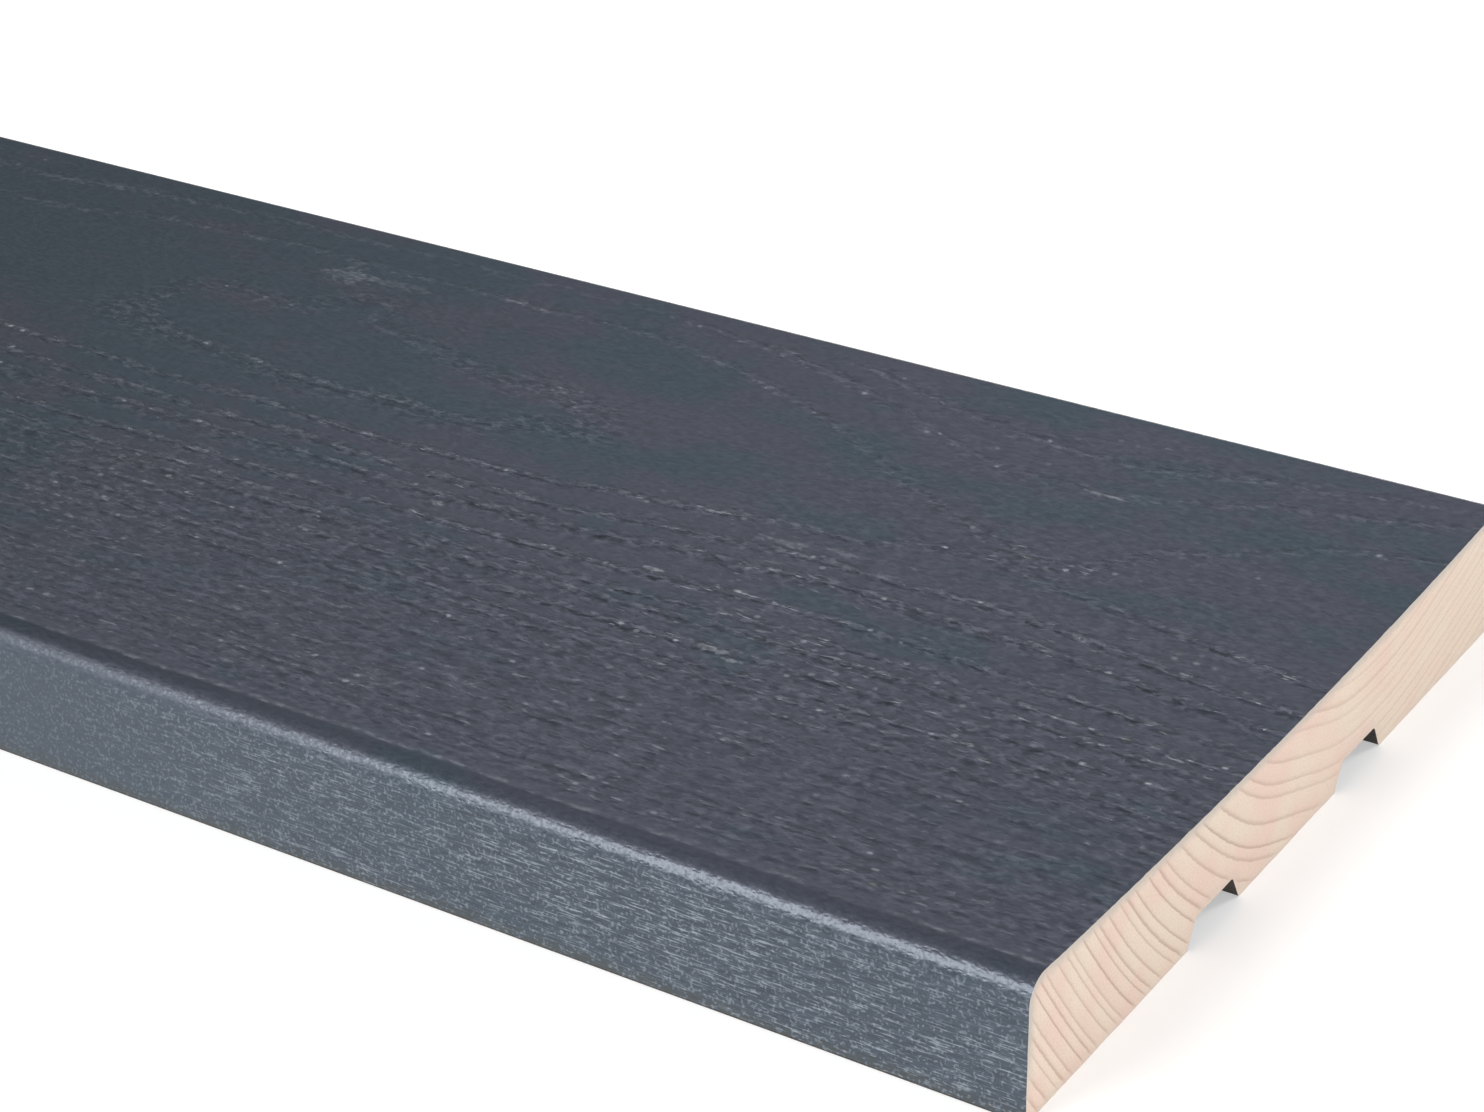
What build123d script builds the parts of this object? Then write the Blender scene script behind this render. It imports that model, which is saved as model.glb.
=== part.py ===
from build123d import *
import os

# An exterior cladding board: planed softwood with rounded face arrises and two relief grooves in its back.
# It lies on its back: +X runs along it, +Y across it and +Z out of its painted face.
# The origin is in the middle of the back, in the plane that is nailed to the battens.
board_length = 3000.0
board_width = 145.0
board_thickness = 20.0  # beside the rounded arrises, where the face is highest

# The face is slightly hollow across the board, as its sawn end shows.
face_hollow = 1.7

# Paint needs rounded arrises on the face. Those of the back are only just broken.
face_arris_radius = 3.5
back_arris_radius = 0.4

# The relief grooves are trapezoids that open towards the back.
groove_count = 2
groove_spacing = 45.0
groove_depth = 4.0
groove_mouth_width = 15.0
groove_floor_width = 10.6
groove_lip_radius = 0.5
groove_root_radius = 0.8


def groove_corners(centre):
    """The corners of one relief groove, from its near lip to its far one, each with its radius."""
    half_mouth = groove_mouth_width / 2
    half_floor = groove_floor_width / 2
    return [
        ((centre - half_mouth, 0), groove_lip_radius),
        ((centre - half_floor, groove_depth), groove_root_radius),
        ((centre + half_floor, groove_depth), groove_root_radius),
        ((centre + half_mouth, 0), groove_lip_radius),
    ]


def back_corners():
    """The corners of the grooved back, from the near long edge to the far one."""
    half_width = board_width / 2
    first_groove = -groove_spacing * (groove_count - 1) / 2
    corners = [((-half_width, 0), back_arris_radius)]
    for number in range(groove_count):
        corners += groove_corners(first_groove + number * groove_spacing)
    corners.append(((half_width, 0), back_arris_radius))
    return corners


def board_section():
    """The planed section: square sides, a grooved back, and a hollow face between rounded arrises."""
    half_width = board_width / 2
    half_face = half_width - face_arris_radius
    shoulder = board_thickness - face_arris_radius
    points, radii = zip(*back_corners())
    with BuildSketch(Plane.YZ) as section:
        with BuildLine():
            FilletPolyline((-half_width, shoulder), *points, (half_width, shoulder), radius=list(radii))
            CenterArc((half_face, shoulder), face_arris_radius, 0, 90)
            ThreePointArc(
                (half_face, board_thickness),
                (0, board_thickness - face_hollow),
                (-half_face, board_thickness),
            )
            CenterArc((-half_face, shoulder), face_arris_radius, 90, 90)
        make_face()
    return section.sketch


def cladding_board():
    """The section run out along the board and sawn square at both ends."""
    sawn_end = Pos(-board_length / 2, 0, 0) * board_section()
    return extrude(sawn_end, board_length, dir=(1, 0, 0))


os.makedirs("parts", exist_ok=True)
board = cladding_board()
board.label = "cladding_board"
export_step(board, "parts/cladding_board.step")
print(f"cladding_board: {board.volume / 1e6:.3f} litres, {len(board.faces())} faces")
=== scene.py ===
import math
import random

import bmesh
import bpy
import numpy as np
from mathutils import Matrix, Vector, geometry


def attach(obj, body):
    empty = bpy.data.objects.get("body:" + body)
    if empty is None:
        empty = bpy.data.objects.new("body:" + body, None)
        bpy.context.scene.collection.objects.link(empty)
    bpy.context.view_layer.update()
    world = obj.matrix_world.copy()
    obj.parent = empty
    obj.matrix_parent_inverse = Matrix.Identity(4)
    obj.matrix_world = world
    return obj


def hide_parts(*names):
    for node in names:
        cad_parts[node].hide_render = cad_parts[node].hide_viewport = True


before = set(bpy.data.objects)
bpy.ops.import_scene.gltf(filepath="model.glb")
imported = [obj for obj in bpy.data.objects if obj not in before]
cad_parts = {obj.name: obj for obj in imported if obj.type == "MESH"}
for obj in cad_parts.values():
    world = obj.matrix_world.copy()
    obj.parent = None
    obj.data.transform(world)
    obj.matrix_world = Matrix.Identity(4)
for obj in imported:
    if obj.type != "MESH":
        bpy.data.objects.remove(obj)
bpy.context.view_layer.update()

# One painted exterior cladding board. Metres; +X along it, +Y across it, +Z out of its painted face.
# The photo shows the last 0.3 m before the end at +X.

cameraSetup = {
    "place": (1.65201, -0.36296, 0.24675),
    "azimuth": 33.2815,       # degrees, 0 looks along +Y
    "elevation": 27.5985,
    "roll": -0.8774,
    "lens": 83.224,           # mm on a 36 mm wide sensor
}


def addCamera(setup):
    a, e, r = (math.radians(setup[k]) for k in ("azimuth", "elevation", "roll"))
    right = Vector((math.cos(a), math.sin(a), 0))
    up = Vector((-math.sin(a) * math.sin(e), math.cos(a) * math.sin(e), math.cos(e)))
    back = Vector((math.sin(a) * math.cos(e), -math.cos(a) * math.cos(e), math.sin(e)))
    rolledRight = math.cos(r) * right + math.sin(r) * up
    rolledUp = math.cos(r) * up - math.sin(r) * right
    data = bpy.data.cameras.new("photoCamera")
    data.lens = setup["lens"]
    data.sensor_width = 36
    data.clip_start = 0.01
    camera = bpy.data.objects.new("photoCamera", data)
    turned = Matrix((rolledRight, rolledUp, back)).transposed().to_4x4()
    camera.matrix_world = Matrix.Translation(setup["place"]) @ turned
    bpy.context.scene.collection.objects.link(camera)
    bpy.context.scene.camera = camera


addCamera(cameraSetup)
print("camera set")


def linear(hexColour):        # sRGB hex to the linear colour that Blender's sockets take
    parts = [int(hexColour[i:i + 2], 16) / 255 for i in (1, 3, 5)]
    return [c / 12.92 if c <= 0.04045 else ((c + 0.055) / 1.055) ** 2.4 for c in parts] + [1.0]


def smooth(low, high, value):
    t = np.clip((value - low) / (high - low), 0, 1)
    return t * t * (3 - 2 * t)


# The growth rings run through the whole board, so its face, sides, back and ends all show the same wood.
rings = {
    "pithAcross": 0.0259,     # the pith lay above the face, off the middle
    "pithHeight": 0.0685,
    "wideRing": 0.0029,       # near the pith
    "narrowRing": 0.0017,     # near the bark
    "narrowFrom": 0.085,      # radius where they turn narrow
    "turnOver": 0.005,        # how gently they turn narrow
    "firstYear": 0.42,        # where the count starts
    "farSideFlat": 0.72,      # the log was oval, so the rings run flatter past the pith
    # height as a share of the radius or in metres, waves round the log, turn in a metre along it
    "waves": [(0.006, 5, 3.1), (0.004, 11, -5.0)],
    "ripples": [(0.00022, 7, 61), (0.00012, 19, 173)],
    "seed": 11,
    "swirlLength": 3.4,       # the rings bend round a knot: its reach and depth for a knot of radius 1
    "swirlWidth": 1.9,
    "swirlDepth": 0.62,
    "knotLevel": 0.019,       # height at which the knots' places are given, just under the face
    "knots": [                # x, y, radius of the knot
        (1.3095, 0.0460, 0.0022),
        (0.905, -0.022, 0.0050),
        (0.520, 0.051, 0.0060),
        (0.115, 0.008, 0.0045),
        (-0.365, -0.043, 0.0055),
        (-0.610, 0.038, 0.0040),
        (-1.020, 0.012, 0.0065),
        (-1.310, -0.030, 0.0045),
    ],
}

yearSwing = {"slow": 0.16, "slowTurn": 1.9, "quick": 0.10, "quickTurn": 4.3}


def pithLine(x):
    # It wanders slowly. Near the photographed end it dips twice, and that draws the arch and the lines
    # that cross the face there.
    along = 1.5 - x
    faded = smooth(0.26, 0.60, along)
    across = rings["pithAcross"] - 0.0035 * np.exp(-((along - 0.058) / 0.048) ** 2)
    across = across + faded * (0.006 * np.sin(along * 2.9 + 0.4) + 0.0025 * np.sin(along * 9.1))
    height = rings["pithHeight"] + 0.0047 * np.exp(-((along - 0.058) / 0.053) ** 2)
    height = height + 0.0022 * smooth(0.197, 0.288, along)
    height = height + faded * (0.0055 * np.sin(along * 2.1 + 0.9) + 0.0022 * np.sin(along * 7.3 + 2.0))
    return across, height


def ringCount(x, y, z):
    pithY, pithZ = pithLine(x)
    dy = y - pithY
    dy = np.where(dy > 0, dy * rings["farSideFlat"], dy)
    dz = z - pithZ
    r = np.sqrt(dy * dy + dz * dz)
    angle = np.arctan2(dy, -dz)
    share = 1
    for high, around, turn in rings["waves"]:
        share = share + high * np.sin(angle * around + x * turn)
    r = r * share
    for high, around, turn in rings["ripples"]:
        r = r + high * np.sin(angle * around + x * turn)
    for kx, ky, size in rings["knots"]:
        # a branch runs outward from the pith, so it crosses the board in a line from there
        slope = (ky - pithY) / (rings["knotLevel"] - pithZ)
        ay = (y - (ky + slope * (z - rings["knotLevel"]))) / (size * rings["swirlWidth"])
        ax = (x - kx) / (size * rings["swirlLength"])
        d2 = ax * ax + ay * ay
        r = r - size * rings["swirlDepth"] * np.exp(-d2) * (1 + 0.4 * ax)
    wide = 1 / rings["wideRing"]
    narrow = 1 / rings["narrowRing"]
    gentle = rings["turnOver"]
    count = wide * r + (narrow - wide) * gentle * np.log1p(np.exp((r - rings["narrowFrom"]) / gentle))
    return count + rings["firstYear"]


def ringPhase(count):         # no two years are equally wide; the materials repeat this with nodes
    slow = yearSwing["slow"] * np.sin(count * yearSwing["slowTurn"])
    quick = yearSwing["quick"] * np.sin(count * yearSwing["quickTurn"])
    return count + slow + quick


def knotShare(x, y, z):       # 1 in the middle of a knot, 0 away from it
    pithY, pithZ = pithLine(x)
    share = np.zeros_like(x)
    for kx, ky, size in rings["knots"]:
        slope = (ky - pithY) / (rings["knotLevel"] - pithZ)
        ay = (y - (ky + slope * (z - rings["knotLevel"]))) / size
        ax = (x - kx) / (size * 1.35)
        share = np.maximum(share, 1 - smooth(0.75, 1.15, np.sqrt(ax * ax + ay * ay)))
    return share


# The board's section and the fineness of its mesh, in metres.
board = {
    "length": 3.0,
    "width": 0.145,
    "thickness": 0.020,
    "hollow": 0.0017,         # the face dips this much in its middle
    "faceArris": 0.0035,
    "backArris": 0.0004,
    "grooveSpacing": 0.045,
    "grooveDepth": 0.004,
    "grooveMouth": 0.015,
    "grooveFloor": 0.0106,
    "lip": 0.0005,
    "root": 0.0008,
    "fineStep": 0.0009,       # across the face on the near half, where the rings are close
    "fineUpTo": 0.014,        # y, past it the steps are coarse
    "coarseStep": 0.0014,
    "sideStep": 0.0019,       # up a side
    "backStep": 0.0030,       # across a flat of the back
    "arrisSteps": 9,          # round an arris of the face
    "cornerSteps": 3,         # round a corner of the back
    "nearStation": 0.0028,    # along the photographed end
    "farStation": 0.0108,
    "nearLength": 0.33,
    "capStep": 0.0010,        # between points inside a sawn end
    "relief": {               # latewood stands up this much under the paint
        "face": 0.00006,
        "arris": 0.000016,
        "side": 0.00004,
        "back": 0.00002,
    },
    "sawFuzz": 0.00006,       # ragged line of the saw cut
}


def straight(a, b, step):     # points from a up to, but not at, b
    count = max(1, round(math.dist(a, b) / step))
    return [(a[0] + (b[0] - a[0]) * i / count, a[1] + (b[1] - a[1]) * i / count) for i in range(count)]


def rounded(before, corner, after, radius):
    u = (Vector(before) - Vector(corner)).normalized()
    v = (Vector(after) - Vector(corner)).normalized()
    half = u.angle(v) / 2
    reach = radius / math.tan(half)
    centre = Vector(corner) + (u + v).normalized() * (radius / math.sin(half))
    first = Vector(corner) + u * reach - centre
    turn = first.angle_signed(Vector(corner) + v * reach - centre)
    points = []
    steps = board["cornerSteps"]
    for i in range(steps + 1):
        a = -turn * i / steps
        x = first.x * math.cos(a) - first.y * math.sin(a)
        y = first.x * math.sin(a) + first.y * math.cos(a)
        points.append((centre.x + x, centre.y + y))
    return points


def backCorners():            # from the far side to the near one
    halfWidth = board["width"] / 2
    corners = [((halfWidth, 0), board["backArris"])]
    for centre in (board["grooveSpacing"] / 2, -board["grooveSpacing"] / 2):
        mouth = board["grooveMouth"] / 2
        floor = board["grooveFloor"] / 2
        corners += [
            ((centre + mouth, 0), board["lip"]),
            ((centre + floor, board["grooveDepth"]), board["root"]),
            ((centre - floor, board["grooveDepth"]), board["root"]),
            ((centre - mouth, 0), board["lip"]),
        ]
    corners.append(((-halfWidth, 0), board["backArris"]))
    return corners


def boardSection():
    # Clockwise as seen from +X. Each point has the part of the board that it belongs to.
    halfWidth = board["width"] / 2
    arris = board["faceArris"]
    halfFace = halfWidth - arris
    top = board["thickness"]
    shoulder = top - arris
    turns = [math.pi / 2 * i / board["arrisSteps"] for i in range(board["arrisSteps"])]
    section = []

    def add(points, part):
        section.extend((y, z, part) for y, z in points)

    add(straight((-halfWidth, board["backArris"]), (-halfWidth, shoulder), board["sideStep"]), "side")
    add([(-halfFace - arris * math.cos(t), shoulder + arris * math.sin(t)) for t in turns], "arris")
    y = -halfFace
    while y < halfFace:
        section.append((y, top - board["hollow"] * (1 - (y / halfFace) ** 2), "face"))
        y += board["fineStep"] if y < board["fineUpTo"] else board["coarseStep"]
    if halfFace - section[-1][0] < board["fineStep"] * 0.5:
        section.pop()
    add([(halfFace + arris * math.sin(t), shoulder + arris * math.cos(t)) for t in turns], "arris")
    add(straight((halfWidth, shoulder), (halfWidth, board["backArris"]), board["sideStep"]), "side")
    corners = backCorners()
    outline = [(halfWidth, shoulder)] + [point for point, radius in corners] + [(-halfWidth, shoulder)]
    pieces = [rounded(outline[i], outline[i + 1], outline[i + 2], corners[i][1]) for i in range(len(corners))]
    for i, piece in enumerate(pieces):
        add(piece[:-1], "back")
        if i + 1 < len(pieces):
            add(straight(piece[-1], pieces[i + 1][0], board["backStep"]), "back")
    return section


def stations():
    half = board["length"] / 2
    count = round((board["length"] - board["nearLength"]) / board["farStation"])
    far = [-half + (board["length"] - board["nearLength"]) * i / count for i in range(count)]
    count = round(board["nearLength"] / board["nearStation"])
    near = [half - board["nearLength"] + board["nearLength"] * i / count for i in range(count + 1)]
    return far + near


def ridges(count, slope):     # 1 on the hard latewood line that ends each year's ring, 0 a millimetre from it
    part = count - np.floor(count)
    return 1 - smooth(0.0003, 0.0012, np.minimum(part, 1 - part) / slope)


def makeBoardMesh():
    section = boardSection()
    xs = stations()
    yz = np.array([(y, z) for y, z, part in section])
    parts = [part for y, z, part in section]
    tangent = np.roll(yz, -1, 0) - np.roll(yz, 1, 0)
    tangent /= np.linalg.norm(tangent, axis=1)[:, None]
    outward = np.stack((-tangent[:, 1], tangent[:, 0]), axis=1)
    relief = np.array([board["relief"][part] for part in parts])
    x, y = np.meshgrid(xs, yz[:, 0], indexing="ij")
    z = np.broadcast_to(yz[:, 1], x.shape)
    count = ringCount(x, y, z)
    knot = knotShare(x, y, z)
    girth = np.concatenate(([0], np.cumsum(np.linalg.norm(np.diff(yz, axis=0), axis=1))))
    # rings to the metre of surface, never 0
    slope = np.hypot(np.gradient(count, np.array(xs), axis=0), np.gradient(count, girth, axis=1)) + 20
    flatter = 1 - 0.6 * smooth(0.018, 0.046, y)        # past the crown of the rings
    uneven = np.random.default_rng(rings["seed"]).random(x.shape)
    uneven = (uneven + np.roll(uneven, 1, 0)) / 2      # no ridge is whole for long
    sink = relief * (1 - ridges(ringPhase(count), slope) * uneven * flatter * (1 - 0.5 * knot))
    y = y - outward[:, 0] * sink
    z = z - outward[:, 1] * sink
    draw = random.Random(rings["seed"])
    x = x.copy()
    for end, inward in ((0, 1), (-1, -1)):      # the saw leaves the outline a little ragged
        for j in range(len(section)):
            x[end, j] += inward * board["sawFuzz"] * draw.random() ** 3
    bm = bmesh.new()
    ringLayer, slopeLayer, knotLayer, sideLayer, rimLayer = (
        bm.verts.layers.float.new(name) for name in ("ringCount", "ringSlope", "knot", "side", "rim"))
    grid = []
    for i in range(len(xs)):
        row = []
        for j, part in enumerate(parts):
            v = bm.verts.new((x[i, j], y[i, j], z[i, j]))
            v[ringLayer] = count[i, j]
            v[slopeLayer] = slope[i, j]
            v[knotLayer] = knot[i, j]
            v[sideLayer] = abs(outward[j, 0]) if part in ("side", "arris") else 0.0
            row.append(v)
        grid.append(row)
    slots = {"face": 0, "arris": 0, "side": 0, "back": 2}
    size = len(parts)
    for i in range(len(xs) - 1):
        for j in range(size):
            k = (j + 1) % size
            face = bm.faces.new((grid[i][j], grid[i + 1][j], grid[i + 1][k], grid[i][k]))
            face.material_index = slots[parts[j]]
            face.smooth = True
    for row, at in ((grid[0], -board["length"] / 2), (grid[-1], board["length"] / 2)):
        capEnd(bm, row, at, (ringLayer, knotLayer, rimLayer))
    mesh = bpy.data.meshes.new("claddingBoard")
    bmesh.ops.recalc_face_normals(bm, faces=bm.faces)
    bm.to_mesh(mesh)
    bm.free()
    return mesh


def capEnd(bm, row, at, layers):
    # A sawn end is flat, with rows of points inside it so that the rings stay smooth across it.
    ringLayer, knotLayer, rimLayer = layers
    rim = [Vector((v.co.y, v.co.z)) for v in row]
    starts = np.array(rim)
    runs = np.roll(starts, -1, 0) - starts
    inner = []
    reach = {}
    step = board["capStep"]
    for r in range(1, int(board["thickness"] / step) + 1):
        z = r * step - 0.0004      # keeps the first row clear of the back
        for c in range(1, int(board["width"] / step)):
            shift = 0.5 * (r % 2)      # every other row is half a step along
            point = Vector((-board["width"] / 2 + (c + shift) * step, z))
            share = np.clip(((np.array(point) - starts) * runs).sum(1) / (runs * runs).sum(1), 0, 1)
            near = np.linalg.norm(starts + share[:, None] * runs - np.array(point), axis=1).min()
            if near > step * 0.55 and insideOutline(point, rim):
                reach[len(rim) + len(inner)] = near
                inner.append(point)
    edges = [(i, (i + 1) % len(rim)) for i in range(len(rim))]
    points, _, triangles, origins, _, _ = geometry.delaunay_2d_cdt(rim + inner, edges, [], 1, 1e-7)
    verts = []
    for point, origin in zip(points, origins):
        if origin and origin[0] < len(row):
            verts.append(row[origin[0]])
            continue
        v = bm.verts.new((at, point.x, point.y))
        place = [np.array([c]) for c in (at, point.x, point.y)]
        v[ringLayer] = float(ringCount(*place)[0])
        v[knotLayer] = float(knotShare(*place)[0])
        v[rimLayer] = float(reach[origin[0]]) if origin else step
        verts.append(v)
    for triangle in triangles:
        bm.faces.new([verts[i] for i in triangle]).material_index = 1
    for i in range(len(row)):
        bm.edges.get((row[i], row[(i + 1) % len(row)])).smooth = False


def insideOutline(point, rim):
    inside = False
    j = len(rim) - 1
    for i in range(len(rim)):
        a, b = rim[i], rim[j]
        if (a.y > point.y) != (b.y > point.y) and point.x < (b.x - a.x) * (point.y - a.y) / (b.y - a.y) + a.x:
            inside = not inside
        j = i
    return inside


claddingBoard = bpy.data.objects.new("cladding_board_wood", makeBoardMesh())
bpy.context.scene.collection.objects.link(claddingBoard)
print("board made:", len(claddingBoard.data.polygons), "faces")

# Settings that many nodes share.
add = {"operation": "ADD"}
take = {"operation": "SUBTRACT"}
times = {"operation": "MULTIPLY"}
multiplyAdd = {"operation": "MULTIPLY_ADD"}
fraction = {"operation": "FRACT"}
sine = {"operation": "SINE"}
eased = {"interpolation_type": "SMOOTHSTEP"}
inColour = {"data_type": "RGBA"}


def node(tree, kind, settings, *values, **named):
    # Adds one node with its settings. Values go to its inputs in order, or by name, and one that is a node
    # or a socket is linked.
    made = tree.nodes.new("ShaderNode" + kind)
    for key, value in settings.items():
        setattr(made, key, value)
    inputs = list(zip([s for s in made.inputs if s.enabled], values))
    inputs += [(made.inputs[key.replace("_", " ")], value) for key, value in named.items()]
    for socket, value in inputs:
        if isinstance(value, bpy.types.Node):
            value = next(s for s in value.outputs if s.enabled)
        if isinstance(value, bpy.types.NodeSocket):
            tree.links.new(value, socket)
        else:
            socket.default_value = value
    return made


def newMaterial(name):
    material = bpy.data.materials.new(name)
    material.use_nodes = True
    material.node_tree.nodes.clear()
    return material, material.node_tree


def yearPlace(tree):          # the same as ringPhase, as nodes
    count = node(tree, "Attribute", {"attribute_name": "ringCount"}).outputs["Fac"]
    slow = node(tree, "Math", sine, node(tree, "Math", times, count, yearSwing["slowTurn"]))
    quick = node(tree, "Math", sine, node(tree, "Math", times, count, yearSwing["quickTurn"]))
    moved = node(tree, "Math", multiplyAdd, slow, yearSwing["slow"], count)
    return node(tree, "Math", multiplyAdd, quick, yearSwing["quick"], moved)


# Dark blue-grey stain paint on planed spruce. The film is satin, and raised fibres stand up through it;
# their glints are painted in as paler flecks.
paint = {
    "violetGrey": "#4d4f5b",
    "tealGrey": "#434f59",
    "sideGrey": "#3f4953",
    # painted shade: the dark band beside the near arris
    "shadedBandTeal": "#232d35",
    "crest": "#7b7e89",       # painted light on the ridges and mounds
    # painted shade in the hollows, at the ridges' feet and between the sides' glints; knots darken towards it
    # too
    "valley": "#282b33",
    "nib": "#b9bdc4",         # a dried speck, its glint painted in
    # painted glint of a raised fibre
    "fleck": "#a9acb2",
    "warmFleck": "#96947f",
    "glint": "#a7b0b9",       # painted glints of the sides' brushed fibres
    "lowEdgeDark": "#454640",       # darker along the side's low edge
    "sheen": "#e9f3ff",       # the film's reflections look a little cool
    "roughness": 0.47,
    "arrisRoughness": 0.25,   # rubbed smooth beside the photographed end
    "arrisDull": 0.45,        # further along it
    "relief": 0.00030,        # metres, the highest fibres
    # metres along the surface, from a latewood line
    "ridgeRise": (-0.00150, -0.00015),
    "ridgeDrop": (0.00000, 0.00030),
    "footFade": (0.00045, 0.00135),
    "waverReach": 0.0018,     # how far a ridge strays
    "beadReach": 0.0014,
    # metres from a long edge of the face
    "smoothBand": (0.0042, 0.0085),
    "darkBand": (0.0052, 0.0038),
    "lineRise": (0.0041, 0.0047),
    "lineDrop": (0.0048, 0.0057),
    "lineWander": 0.0030,
    "driftTurn": 12.6,        # radians to the metre: the stain and the painted light change every half metre
    "driftStart": 2.15,
    "patterns": {             # noise: spots to the metre along and across the fibres, detail, roughness
        "waver": (230, 380, 2.0, 0.6),        # 4.3 x 2.6 mm, bends the ridges
        "breaks": (110, 300, 2.0, 0.6),       # 9 x 3.3 mm, where a ridge stops
        "dashes": (330, 760, 2.0, 0.6),       # 3 x 1.3 mm, the ridge's short lengths
        "beads": (620, 800, 1.5, 0.5),        # 1.6 x 1.2 mm, lumps in the paint
        "lumps": (400, 760, 2.0, 0.6),        # 2.5 x 1.3 mm, short fibre lumps
        "fine": (850, 1700, 1.0, 0.6),        # 1.2 x 0.6 mm, single fibres, drawn coarser so that they show
        "patch": (38, 75, 2.0, 0.5),          # 26 x 13 mm
        "streak": (350, 4600, 2.0, 0.65),     # 2.9 x 0.2 mm, the sides' brushed fibres
    },
    "cover": {                # how much of the paint's colour each mark covers at most
        "side": 0.8,
        "shadedBand": 1.0,
        "shadedHollows": 0.32,
        "shadedFoot": 1.0,
        "ridge": 1.0,
        "litMounds": 0.26,
        "fleck": 0.42,
        "nib": 0.50,
        "light": 0.60,
        "speck": 0.28,
        "shade": 0.55,
        "lowEdge": 0.70,
        "knot": 0.30,
    },
    "rise": {                 # how high each mark stands, as a share of the relief
        "ridge": 0.38,
        "lumps": 0.30,
        "beads": 0.36,
        "fleck": 0.35,
        "nib": 0.40,
        "arrisBeads": 0.03,
        "fine": 0.16,
        "arrisFine": 0.10,
        "line": 0.12,
        "brushed": 0.16,
    },
    "fleckyPatch": (1.425, -0.012, 0.034, 0.022),  # a patch with more flecks: x, y, half length, half width
    "marks": [                # x, y, half length, half width, how far towards the fleck's colour
        (1.3003, 0.0529, 0.0050, 0.0030, 0.18),
        (1.3085, 0.0536, 0.0080, 0.0012, 0.10),
        (1.4476, 0.0455, 0.0040, 0.0004, 0.36),
        (1.4150, 0.0092, 0.0046, 0.0010, 0.30),
        (1.4234, 0.0108, 0.0028, 0.0009, 0.26),
        (1.4035, -0.0076, 0.0018, 0.0006, 0.50),
        (1.4239, -0.0231, 0.0020, 0.0007, 0.44),
        (1.4277, -0.0243, 0.0016, 0.0006, 0.40),
        (1.3960, -0.0180, 0.0014, 0.0011, 0.28),
        (1.3643, -0.0069, 0.0010, 0.0008, 0.46),
        (1.3795, -0.0538, 0.0006, 0.0005, 0.60),
    ],
}


def spotDistance(tree, here, x, y, halfLength, halfWidth):
    # 0 in the middle of an oval spot, 1 on its outline
    oval = node(tree, "Mapping", {}, here, Location=(-x / halfLength, -y / halfWidth, 0),
                Scale=(1 / halfLength, 1 / halfWidth, 0))
    return node(tree, "VectorMath", {"operation": "LENGTH"}, oval).outputs["Value"]


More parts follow.
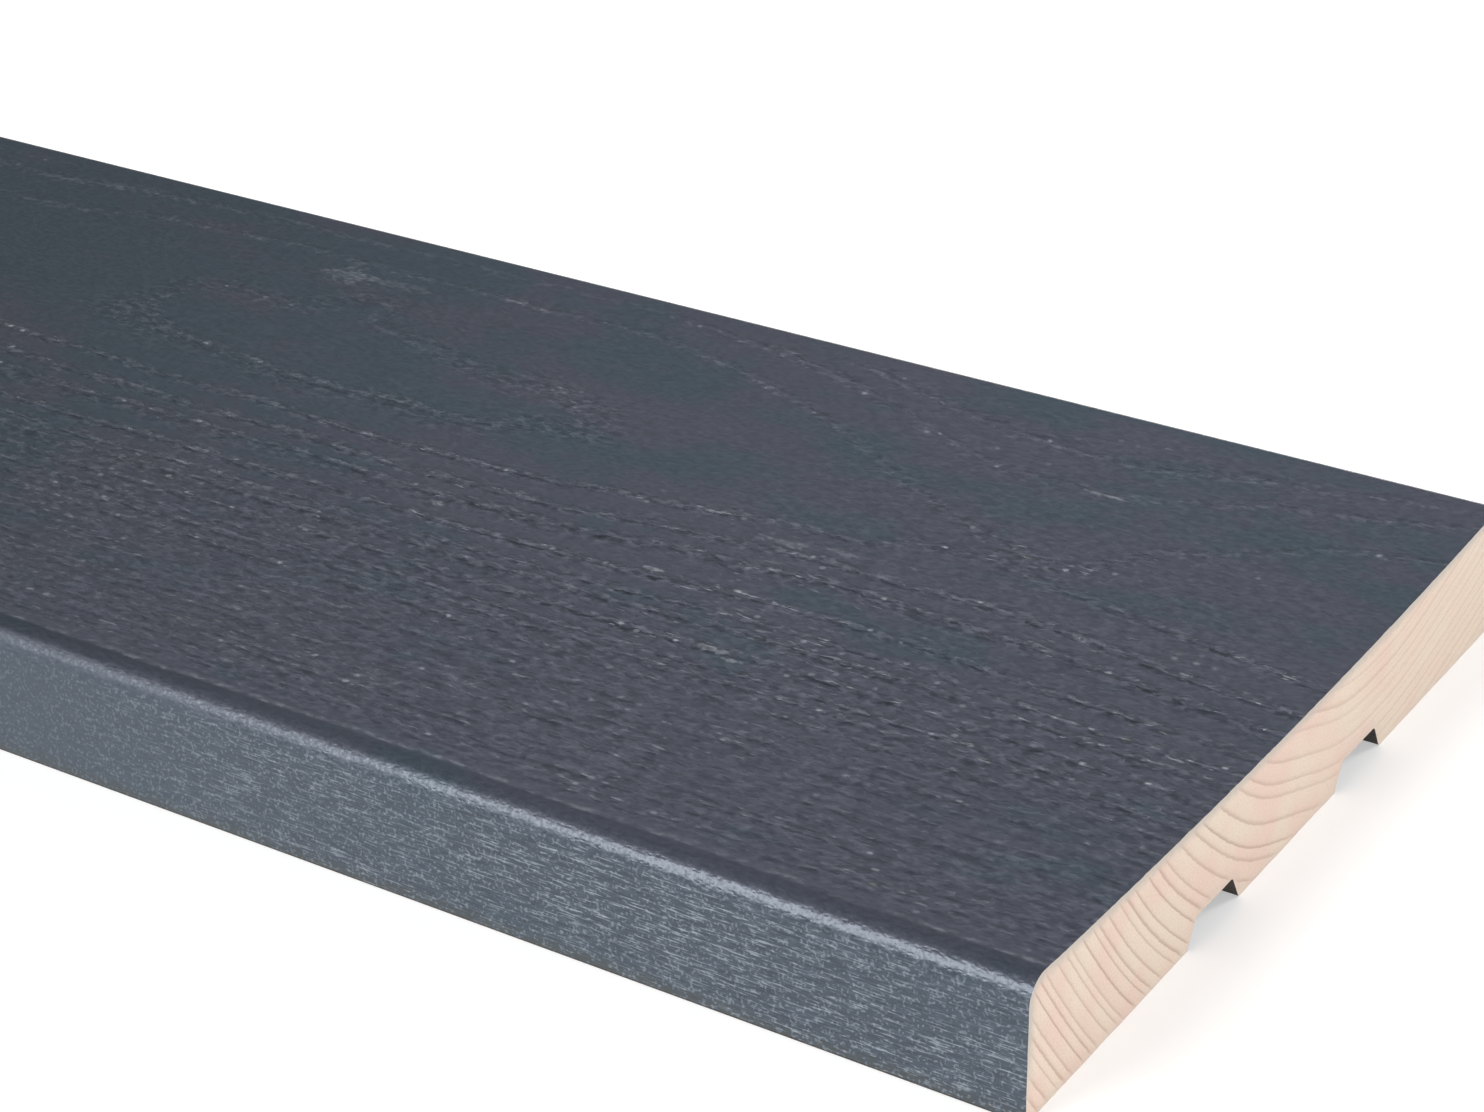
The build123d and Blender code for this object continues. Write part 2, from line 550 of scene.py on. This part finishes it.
def paintedSpruce():
    material, tree = newMaterial("paintedSpruce")
    here = node(tree, "TexCoord", {}).outputs["Object"]
    place = node(tree, "SeparateXYZ", {}, here).outputs
    slope, side, knot = (node(tree, "Attribute", {"attribute_name": name}).outputs["Fac"]
                         for name in ("ringSlope", "side", "knot"))

    noise = {}
    for name, (along, across, detail, roughness) in paint["patterns"].items():
        at = node(tree, "Mapping", {}, here, Scale=(along, across, across))
        noise[name] = node(tree, "TexNoise", {}, at, Scale=1.0, Detail=detail, Roughness=roughness)
    fine = noise["fine"]
    patch = noise["patch"]
    streak = noise["streak"]
    breaks = node(tree, "MapRange", eased, noise["breaks"], 0.36, 0.56, 0.35, 1.0)
    dashes = node(tree, "MapRange", eased, noise["dashes"], 0.38, 0.60)
    beads = node(tree, "MapRange", eased, noise["beads"], 0.42, 0.62)
    lumps = node(tree, "MapRange", eased, noise["lumps"], 0.36, 0.66)
    waverSwing, beadSwing, fineSwing, patchSwing = (node(tree, "Math", take, noise[name], 0.5)
                                                    for name in ("waver", "beads", "fine", "patch"))
    stainAndLightDrift = node(tree, "Math", multiplyAdd, place["X"], paint["driftTurn"], paint["driftStart"])
    stainAndLightDrift = node(tree, "Math", sine, stainAndLightDrift)

    # A ridge rises slowly to each latewood line and drops quickly past it, to a foot of painted shade.
    part = node(tree, "Math", fraction, yearPlace(tree))
    signed = node(tree, "Math", take, part, node(tree, "Math", {"operation": "ROUND"}, part))
    off = node(tree, "Math", {"operation": "DIVIDE"}, signed, slope)
    off = node(tree, "Math", multiplyAdd, waverSwing, paint["waverReach"], off)
    off = node(tree, "Math", multiplyAdd, beadSwing, paint["beadReach"], off)
    crest = node(tree, "Math", times, node(tree, "MapRange", eased, off, *paint["ridgeRise"]),
                 node(tree, "MapRange", eased, off, *paint["ridgeDrop"], 1.0, 0.0))
    shadedFoot = node(tree, "Math", times, node(tree, "MapRange", eased, off, *paint["ridgeDrop"]),
                node(tree, "MapRange", eased, off, *paint["footFade"], 1.0, 0.0))
    distance = node(tree, "Math", {"operation": "ABSOLUTE"}, off)
    close = node(tree, "MapRange", eased, distance, 0.0007, 0.0024, 1.0, 0.15)
    close = node(tree, "Math", {"operation": "MAXIMUM"}, close,
                 node(tree, "MapRange", eased, stainAndLightDrift, 0.70, 0.97, 0.0, 0.45))
    # a ring that only grazes the face leaves no line
    steep = node(tree, "MapRange", eased, slope, 40.0, 110.0)
    broken = node(tree, "Math", times, node(tree, "Math", times, breaks, steep),
                  node(tree, "MapRange", {}, dashes, 0.0, 1.0, 0.25, 1.0))
    ridge = node(tree, "Math", times, node(tree, "Math", times, crest, broken),
                 node(tree, "MapRange", {}, beads, 0.0, 1.0, 0.30, 1.0))
    shadedFoot = node(tree, "Math", times, node(tree, "Math", times, shadedFoot, broken),
                node(tree, "MapRange", {}, lumps, 0.0, 1.0, 1.0, 0.35))

    # The arris and a narrow band beside it are smooth. The grain stands up most where the rings meet the face
    # flatly, just short of their crown, and lies flatter past it.
    fromMiddle = node(tree, "Math", {"operation": "ABSOLUTE"}, place["Y"])
    edge = node(tree, "Math", take, board["width"] / 2, fromMiddle)
    face = node(tree, "MapRange", eased, side, 0.05, 0.5, 1.0, 0.0)
    inside = node(tree, "MapRange", eased, edge, *paint["smoothBand"])
    rough = node(tree, "MapRange", eased, place["Y"], 0.020, 0.048, 1.0, 0.60)
    bold = node(tree, "MapRange", eased, place["Y"], -0.044, -0.024, 0.74, 1.25)
    bold = node(tree, "Math", times, bold, node(tree, "MapRange", {}, stainAndLightDrift, -0.2, 0.7, 0.74, 1.0))
    rough = node(tree, "Math", times, rough, bold)
    grainy = node(tree, "Math", times, node(tree, "Math", times, inside, rough), face)
    textured = node(tree, "Math", times, grainy, close)
    onSide = node(tree, "MapRange", eased, side, 0.86, 1.0)
    onArris = node(tree, "Math", times, node(tree, "MapRange", eased, side, 0.04, 0.30),
                   node(tree, "MapRange", eased, side, 0.93, 0.999, 1.0, 0.0))
    nearSide = node(tree, "MapRange", {}, place["Y"], -0.01, 0.01, 1.0, 0.0)
    farHalf = node(tree, "MapRange", eased, place["Y"], 0.0, 0.03)
    fleckyPatch = spotDistance(tree, here, *paint["fleckyPatch"])
    fleckyPatch = node(tree, "MapRange", eased, fleckyPatch, 0.30, 1.0, 1.0, 0.0)

    # Painted shade in the hollows and at the ridges' feet, painted light on the mounds and the ridges.
    shadedHollows = node(tree, "Math", times, node(tree, "MapRange", eased, lumps, 0.45, 0.0), textured)
    litMounds = node(tree, "Math", times, node(tree, "Math", times, beads, lumps), textured)
    shadedFoot = node(tree, "Math", times, shadedFoot, node(tree, "MapRange", {}, farHalf, 0.0, 1.0, 0.84, 0.42))
    shadedFoot = node(tree, "Math", times, shadedFoot, grainy)
    litRidge = node(tree, "Math", times, ridge, node(tree, "MapRange", {}, farHalf, 0.0, 1.0, 0.34, 0.46))
    litRidge = node(tree, "Math", times, litRidge, grainy)

    # Flecks are painted glints of raised fibres, 1 to 3 mm long, 0.3 mm thick, in patches, more on the
    # ridges.
    fleckAt = node(tree, "Mapping", {}, here, Scale=(430, 1500, 1500), Location=(3.1, 0.7, 0.2))
    fleck = node(tree, "TexNoise", {}, fleckAt, Scale=1.0, Detail=1.0, Roughness=0.5)
    for more, share in ((patchSwing, 0.30), (ridge, 0.10), (fleckyPatch, 0.09)):
        fleck = node(tree, "Math", multiplyAdd, more, share, fleck)
    fleck = node(tree, "Math", times, node(tree, "MapRange", eased, fleck, 0.70, 0.84), grainy)
    fleck = node(tree, "Math", times, fleck, close)
    warm = node(tree, "MapRange", eased, patch, 0.64, 0.72)
    fleckColour = node(tree, "Mix", inColour, warm, linear(paint["fleck"]), linear(paint["warmFleck"]))

    # Nibs are dots of dried paint, up to 1.2 mm across, one to a cell in the cells that draw a high number.
    # their glints are painted in as a pale colour
    nibAt = node(tree, "Mapping", {}, here, Scale=(330, 350, 350))
    nibCell = node(tree, "TexVoronoi", {"voronoi_dimensions": "2D"}, nibAt, Scale=1.0).outputs
    draw = node(tree, "SeparateColor", {}, nibCell["Color"]).outputs
    chosen = draw["Red"]
    for more, share in ((patchSwing, 1.1), (crest, 0.30), (fleckyPatch, 0.22)):
        chosen = node(tree, "Math", multiplyAdd, more, share, chosen)
    nibReach = node(tree, "Math", multiplyAdd, fineSwing, 0.25, nibCell["Distance"])
    nib = node(tree, "Math", times, node(tree, "MapRange", eased, nibReach, 0.05, 0.22, 1.0, 0.0),
               node(tree, "MapRange", {}, chosen, 0.94, 1.10))
    nib = node(tree, "Math", times, nib, node(tree, "MapRange", eased, draw["Green"], 0.1, 1.0, 0.12, 1.0))
    nib = node(tree, "Math", times, nib, textured)

    # The sides' glitter is painted: short bright glints and darker shade between them, most of all near the
    # end.
    lively = node(tree, "Math", times, node(tree, "MapRange", {}, stainAndLightDrift, 0.30, 0.95, 0.08, 1.0), onSide)
    light = node(tree, "Math", times, node(tree, "MapRange", eased, streak, 0.55, 0.68), onSide)
    light = node(tree, "Math", times, light, node(tree, "MapRange", eased, patch, 0.35, 0.60, 0.55, 1.0))
    light = node(tree, "Math", times, light, lively)
    shade = node(tree, "Math", times, node(tree, "MapRange", eased, streak, 0.48, 0.34), lively)
    speck = node(tree, "TexNoise", {}, here, Scale=2300.0, Detail=0.0)                # 0.4 mm
    grit = node(tree, "MapRange", {}, speck, 0.25, 0.75)
    # fine specks of painted glint on the sides
    speck = node(tree, "Math", times, node(tree, "MapRange", eased, speck, 0.58, 0.74), onSide)
    speck = node(tree, "Math", times, speck, node(tree, "MapRange", {}, stainAndLightDrift, 0.2, 0.9, 0.45, 1.0))
    # darker along the side's low edge, in specks
    lowEdge = node(tree, "Math", times, node(tree, "MapRange", eased, place["Z"], 0.0030, 0.0004), onSide)
    lowEdge = node(tree, "Math", times, lowEdge, node(tree, "MapRange", eased, grit, 0.36, 0.62, 1.0, 0.15))

    # Beside the near arris: a band of painted shade, then a thin painted highlight where the flat face
    # begins.
    toSide = node(tree, "MapRange", eased, side, 0.50, 1.0)
    shadedBand = node(tree, "Math", times, node(tree, "MapRange", eased, side, 0.66, 0.45),
                node(tree, "MapRange", eased, edge, *paint["darkBand"]))
    shadedBand = node(tree, "Math", times, shadedBand, node(tree, "MapRange", {}, stainAndLightDrift, -0.6, 0.9, 0.84, 0.40))
    shadedBand = node(tree, "Math", times, shadedBand, nearSide)
    bend = node(tree, "Math", multiplyAdd, patchSwing, paint["lineWander"], edge)
    line = node(tree, "Math", times, node(tree, "MapRange", eased, bend, *paint["lineRise"]),
                node(tree, "MapRange", eased, bend, *paint["lineDrop"], 1.0, 0.0))
    line = node(tree, "Math", times, line, node(tree, "MapRange", {}, beads, 0.0, 1.0, 0.35, 1.0))
    line = node(tree, "Math", times, line, nearSide)

    # The stain drifts between teal and violet, and in patches. The marks lie over it in this order.
    hue = node(tree, "Math", multiplyAdd, stainAndLightDrift, 0.13, patch)
    hue = node(tree, "Math", multiplyAdd, waverSwing, 0.3, hue)
    hue = node(tree, "Math", multiplyAdd, farHalf, -0.09, hue)
    colour = node(tree, "Mix", inColour, node(tree, "MapRange", eased, hue, 0.30, 0.62),
                  linear(paint["tealGrey"]), linear(paint["violetGrey"]))
    # painted shade: the colour darkens with the drift, a painted falloff of the light along the board
    paintedLightFalloff = node(tree, "MapRange", {}, stainAndLightDrift, -1.0, 1.0, 0.64, 0.985)
    colour = node(tree, "VectorMath", {"operation": "SCALE"}, colour, Scale=paintedLightFalloff)
    for mask, name, over in (
        (toSide, "side", "sideGrey"),
        (shadedBand, "shadedBand", "shadedBandTeal"),
        (shadedHollows, "shadedHollows", "valley"),
        (shadedFoot, "shadedFoot", "valley"),
        (litRidge, "ridge", "crest"),
        (litMounds, "litMounds", "crest"),
    ):
        mask = node(tree, "Math", times, mask, paint["cover"][name])
        colour = node(tree, "Mix", inColour, mask, colour, linear(paint[over]))
    streaky = node(tree, "MapRange", {}, fine, 0.30, 0.70, 0.86, 1.14)
    colour = node(tree, "VectorMath", {"operation": "SCALE"}, colour, Scale=streaky)
    fleckShare = node(tree, "Math", times, fleck, paint["cover"]["fleck"])
    colour = node(tree, "Mix", inColour, fleckShare, colour, fleckColour)
    nibShare = node(tree, "Math", times, nib, paint["cover"]["nib"])
    colour = node(tree, "Mix", inColour, nibShare, colour, linear(paint["nib"]))
    for x, y, halfLength, halfWidth, share in paint["marks"]:
        mark = spotDistance(tree, here, x, y, halfLength, halfWidth)
        mark = node(tree, "Math", multiplyAdd, beads, -0.6, mark)
        mark = node(tree, "MapRange", eased, mark, 0.10, 0.95, share, 0.0)
        mark = node(tree, "Math", times, node(tree, "Math", times, mark, face),
                    node(tree, "MapRange", {}, fine, 0.35, 0.60, 0.25, 1.0))
        colour = node(tree, "Mix", inColour, mark, colour, fleckColour)
    for mask, name, over in (
        (light, "light", "glint"),
        (speck, "speck", "glint"),
        (shade, "shade", "valley"),
        (lowEdge, "lowEdge", "lowEdgeDark"),
        (knot, "knot", "valley"),
    ):
        mask = node(tree, "Math", times, mask, paint["cover"][name])
        colour = node(tree, "Mix", inColour, mask, colour, linear(paint[over]))
    # the thin pale line beside the near arris is a painted highlight
    lineHighlightShare = node(tree, "Math", times, line, node(tree, "MapRange", {}, lumps, 0.0, 1.0, 0.05, 0.30))
    colour = node(tree, "Mix", inColour, lineHighlightShare, colour, linear(paint["fleck"]))

    shine = node(tree, "Math", multiplyAdd, fineSwing, 0.30, paint["roughness"])
    worn = node(tree, "MapRange", {}, place["X"], 1.34, 1.45, paint["arrisDull"], paint["arrisRoughness"])
    worn = node(tree, "Math", take, worn, paint["roughness"])
    worn = node(tree, "Math", multiplyAdd, node(tree, "Math", take, grit, 0.5), 0.22, worn)
    shine = node(tree, "Math", add, node(tree, "Math", times, onArris, worn), shine)

    rise = paint["rise"]
    relief = node(tree, "Math", times, beads, rise["beads"])
    relief = node(tree, "Math", multiplyAdd, lumps, rise["lumps"], relief)
    height = node(tree, "Math", times, ridge, rise["ridge"])
    for form, share in ((relief, close), (fleck, rise["fleck"]), (nib, rise["nib"])):
        height = node(tree, "Math", multiplyAdd, form, share, height)
    height = node(tree, "Math", times, height, grainy)
    for form, name in (
        (node(tree, "Math", times, beads, onArris), "arrisBeads"),
        (fine, "fine"),
        (node(tree, "Math", times, fine, onArris), "arrisFine"),
        (line, "line"),
        (node(tree, "Math", times, streak, lively), "brushed"),
    ):
        height = node(tree, "Math", multiplyAdd, form, rise[name], height)
    bump = node(tree, "Bump", {}, Strength=1.0, Distance=paint["relief"], Height=height)
    shader = node(tree, "BsdfPrincipled", {}, Base_Color=colour, Roughness=shine, IOR=1.5, Normal=bump,
                  Specular_Tint=linear(paint["sheen"]))
    node(tree, "OutputMaterial", {}, Surface=shader)
    return material


# Bare spruce where the saw cut it: pale open earlywood and a thin pink-brown latewood line to each year.
endGrain = {
    "earlywood": "#f0dfcd",
    "pinkEarlywood": "#f0d6c7",
    "latewood": "#a6806a",
    "rim": "#cbc2b8",         # crushed fibre with a trace of paint on it
    "rimWidth": 0.0020,
    "roughness": 0.72,
    "specular": 0.3,          # open cells hardly shine
    "warp": 700,              # noise spots to the metre: 1.4 mm, the lines' unevenness
    "warpReach": 0.17,        # years
    "pores": 3600,            # open cells, drawn 0.3 mm so that they show
    "poreDepth": 0.00004,
    "cloud": 80,              # 12 mm, pinker and paler wood
    # shares of a year: latewood comes in slowly and ends at once
    "lineRise": (0.66, 0.93),
    "lineDrop": (0.94, 1.0),
}


def sawnSpruce():
    material, tree = newMaterial("sawnSpruceEndGrain")
    here = node(tree, "TexCoord", {}).outputs["Object"]
    place = node(tree, "SeparateXYZ", {}, here).outputs
    across = place["Y"]
    rim = node(tree, "Attribute", {"attribute_name": "rim"}).outputs["Fac"]
    warp = node(tree, "TexNoise", {}, here, Scale=endGrain["warp"], Detail=2.0)
    pores = node(tree, "TexNoise", {}, here, Scale=endGrain["pores"], Detail=1.0)
    cloud = node(tree, "TexNoise", {}, here, Scale=endGrain["cloud"], Detail=2.0)
    warpSwing = node(tree, "Math", take, warp, 0.5)
    phase = yearPlace(tree)
    year = node(tree, "Math", {"operation": "FLOOR"}, phase)
    perYear = node(tree, "TexWhiteNoise", {"noise_dimensions": "1D"}, year).outputs["Value"]
    part = node(tree, "Math", multiplyAdd, warpSwing, endGrain["warpReach"], phase)
    part = node(tree, "Math", fraction, part)
    line = node(tree, "Math", times, node(tree, "MapRange", eased, part, *endGrain["lineRise"]),
                node(tree, "MapRange", eased, part, *endGrain["lineDrop"], 1.0, 0.0))
    tint = node(tree, "MapRange", eased, part, 0.25, 0.95, 0.0, 0.12)
    line = node(tree, "Math", times, line, node(tree, "MapRange", eased, perYear, 0.0, 1.0, 0.24, 0.46))
    line = node(tree, "Math", times, node(tree, "Math", add, line, tint),
                node(tree, "MapRange", eased, across, -0.030, 0.036, 1.0, 0.30))
    # past the pith the rings show as finer and fainter lines
    between = node(tree, "Math", multiplyAdd, phase, 2.0, node(tree, "Math", times, warp, 0.5))
    between = node(tree, "Math", fraction, between)
    between = node(tree, "Math", times, node(tree, "MapRange", eased, between, 0.55, 0.9),
                   node(tree, "MapRange", eased, between, 0.9, 1.0, 1.0, 0.0))
    past = node(tree, "MapRange", eased, across, 0.008, 0.034, 0.0, 0.12)
    line = node(tree, "Math", multiplyAdd, between, past, line)
    line = node(tree, "Math", times, line, node(tree, "MapRange", eased, rim, 0.0, 0.0016, 0.30, 1.0))
    pinker = node(tree, "Math", times, node(tree, "MapRange", eased, cloud, 0.36, 0.62),
                  node(tree, "MapRange", {}, across, 0.03, 0.07, 1.0, 0.0))
    openCells = node(tree, "MapRange", eased, pores, 0.35, 0.8, 0.0, 0.20)
    ragged = node(tree, "Math", multiplyAdd, warpSwing, 0.0012, rim)
    pale = node(tree, "MapRange", eased, ragged, 0.0002, endGrain["rimWidth"], 0.90, 0.0)
    pale = node(tree, "Math", times, pale, node(tree, "MapRange", {}, place["Z"], 0.004, 0.012, 0.2, 1.0))
    colour = linear(endGrain["earlywood"])
    for mask, over in ((pinker, "pinkEarlywood"), (line, "latewood"), (openCells, "latewood"), (pale, "rim")):
        colour = node(tree, "Mix", inColour, mask, colour, linear(endGrain[over]))
    bump = node(tree, "Bump", {}, Strength=0.5, Distance=endGrain["poreDepth"], Height=pores)
    shader = node(tree, "BsdfPrincipled", {}, Base_Color=colour, Roughness=endGrain["roughness"], IOR=1.5,
                  Normal=bump, Specular_IOR_Level=endGrain["specular"])
    node(tree, "OutputMaterial", {}, Surface=shader)
    return material


# The back and grooves are dull brown-black, painted shade for the grooves' dark walls; the grain shows
# through.
darkBack = {
    # painted shade: brown-black over the whole back
    "darkBase": "#3b3633",
    "worn": "#5b4e44",
    "latewood": "#2c2827",
    "roughness": 0.66,
    "specular": 0.35,
    "fibre": (90, 2200, 2200),      # 11 x 0.5 mm, planed fibres
    "blotch": (9, 40, 40),          # 110 x 25 mm, where it is lighter
    "cover": 0.6,                   # how far latewood and knots darken it
    "relief": 0.00008,
}


def darkBackSpruce():
    material, tree = newMaterial("darkShadedSpruceBack")
    here = node(tree, "TexCoord", {}).outputs["Object"]
    knot = node(tree, "Attribute", {"attribute_name": "knot"}).outputs["Fac"]
    fibreAt = node(tree, "Mapping", {}, here, Scale=darkBack["fibre"])
    fibre = node(tree, "TexNoise", {}, fibreAt, Scale=1.0, Detail=3.0)
    blotchAt = node(tree, "Mapping", {}, here, Scale=darkBack["blotch"])
    blotch = node(tree, "TexNoise", {}, blotchAt, Scale=1.0, Detail=3.0)
    part = node(tree, "Math", fraction, yearPlace(tree))
    line = node(tree, "Math", times, node(tree, "MapRange", eased, part, 0.35, 0.93),
                node(tree, "MapRange", eased, part, 0.96, 1.0, 1.0, 0.0))
    bare = node(tree, "Math", times, node(tree, "MapRange", eased, blotch, 0.45, 0.75),
                node(tree, "MapRange", eased, fibre, 0.4, 0.65))
    colour = node(tree, "Mix", inColour, bare, linear(darkBack["darkBase"]), linear(darkBack["worn"]))
    for mask in (line, knot):
        mask = node(tree, "Math", times, mask, darkBack["cover"])
        colour = node(tree, "Mix", inColour, mask, colour, linear(darkBack["latewood"]))
    height = node(tree, "Math", multiplyAdd, line, 0.5, fibre)
    bump = node(tree, "Bump", {}, Strength=0.7, Distance=darkBack["relief"], Height=height)
    shader = node(tree, "BsdfPrincipled", {}, Base_Color=colour, Roughness=darkBack["roughness"], IOR=1.5,
                  Normal=bump, Specular_IOR_Level=darkBack["specular"])
    node(tree, "OutputMaterial", {}, Surface=shader)
    return material


for make in (paintedSpruce, sawnSpruce, darkBackSpruce):
    claddingBoard.data.materials.append(make())
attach(claddingBoard, "root")
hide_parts("cladding_board")
print("board finished")

# A plain pale floor and soft light. The board lies on its back on the floor.
studio = {
    "floorSize": 120.0,
    "floorColour": "#e4e4e4",
    "floorLift": 0.36,        # makes the lit floor white behind the board, and keeps its shadow
    "skyFront": 0.44,         # the room is brighter in front of the board than behind it
    "skyBehind": 0.16,
    "key": {"towards": (-0.42, -0.70, 0.575), "strength": 2.4, "angle": 34},
    "fill": {"towards": (0.80, -0.56, 0.22), "strength": 1.33, "angle": 50},
    "rear": {"towards": (0.40, 0.84, 0.37), "strength": 1.5, "angle": 18},
}


def addSun(name, setup):
    data = bpy.data.lights.new(name, "SUN")
    data.energy = setup["strength"]
    data.angle = math.radians(setup["angle"])
    lamp = bpy.data.objects.new(name, data)
    lamp.rotation_mode = "QUATERNION"
    lamp.rotation_quaternion = Vector(setup["towards"]).to_track_quat("Z", "Y")
    bpy.context.scene.collection.objects.link(lamp)


def addSky():
    world = bpy.data.worlds.new("studio")
    world.use_nodes = True
    tree = world.node_tree
    tree.nodes.clear()
    depth = node(tree, "SeparateXYZ", {}, node(tree, "TexCoord", {}).outputs["Generated"]).outputs["Y"]
    strength = node(tree, "MapRange", eased, depth, -0.8, 0.8, studio["skyFront"], studio["skyBehind"])
    background = node(tree, "Background", {}, (1, 1, 1, 1), strength)
    node(tree, "OutputWorld", {}, Surface=background)
    bpy.context.scene.world = world


def addFloor():
    bm = bmesh.new()
    half = studio["floorSize"] / 2
    corners = ((-half, -half), (half, -half), (half, half), (-half, half))
    bm.faces.new([bm.verts.new((x, y, 0)) for x, y in corners])
    mesh = bpy.data.meshes.new("floor")
    bm.to_mesh(mesh)
    bm.free()
    floor = bpy.data.objects.new("floor", mesh)
    bpy.context.scene.collection.objects.link(floor)
    material, tree = newMaterial("paleFloor")
    path = node(tree, "LightPath", {}).outputs
    seen = node(tree, "Math", add, path["Is Camera Ray"], path["Is Glossy Ray"])
    seen = node(tree, "Math", add | {"use_clamp": True}, seen, path["Is Transmission Ray"])
    matte = node(tree, "BsdfDiffuse", {}, linear(studio["floorColour"]))
    glow = node(tree, "Emission", {}, (1, 1, 1, 1), node(tree, "Math", times, seen, studio["floorLift"]))
    node(tree, "OutputMaterial", {}, Surface=node(tree, "AddShader", {}, matte, glow))
    floor.data.materials.append(material)


for lampName in ("key", "fill", "rear"):
    addSun(lampName + "Light", studio[lampName])
addSky()
addFloor()
bpy.context.scene.view_settings.view_transform = "Standard"
print("studio set")
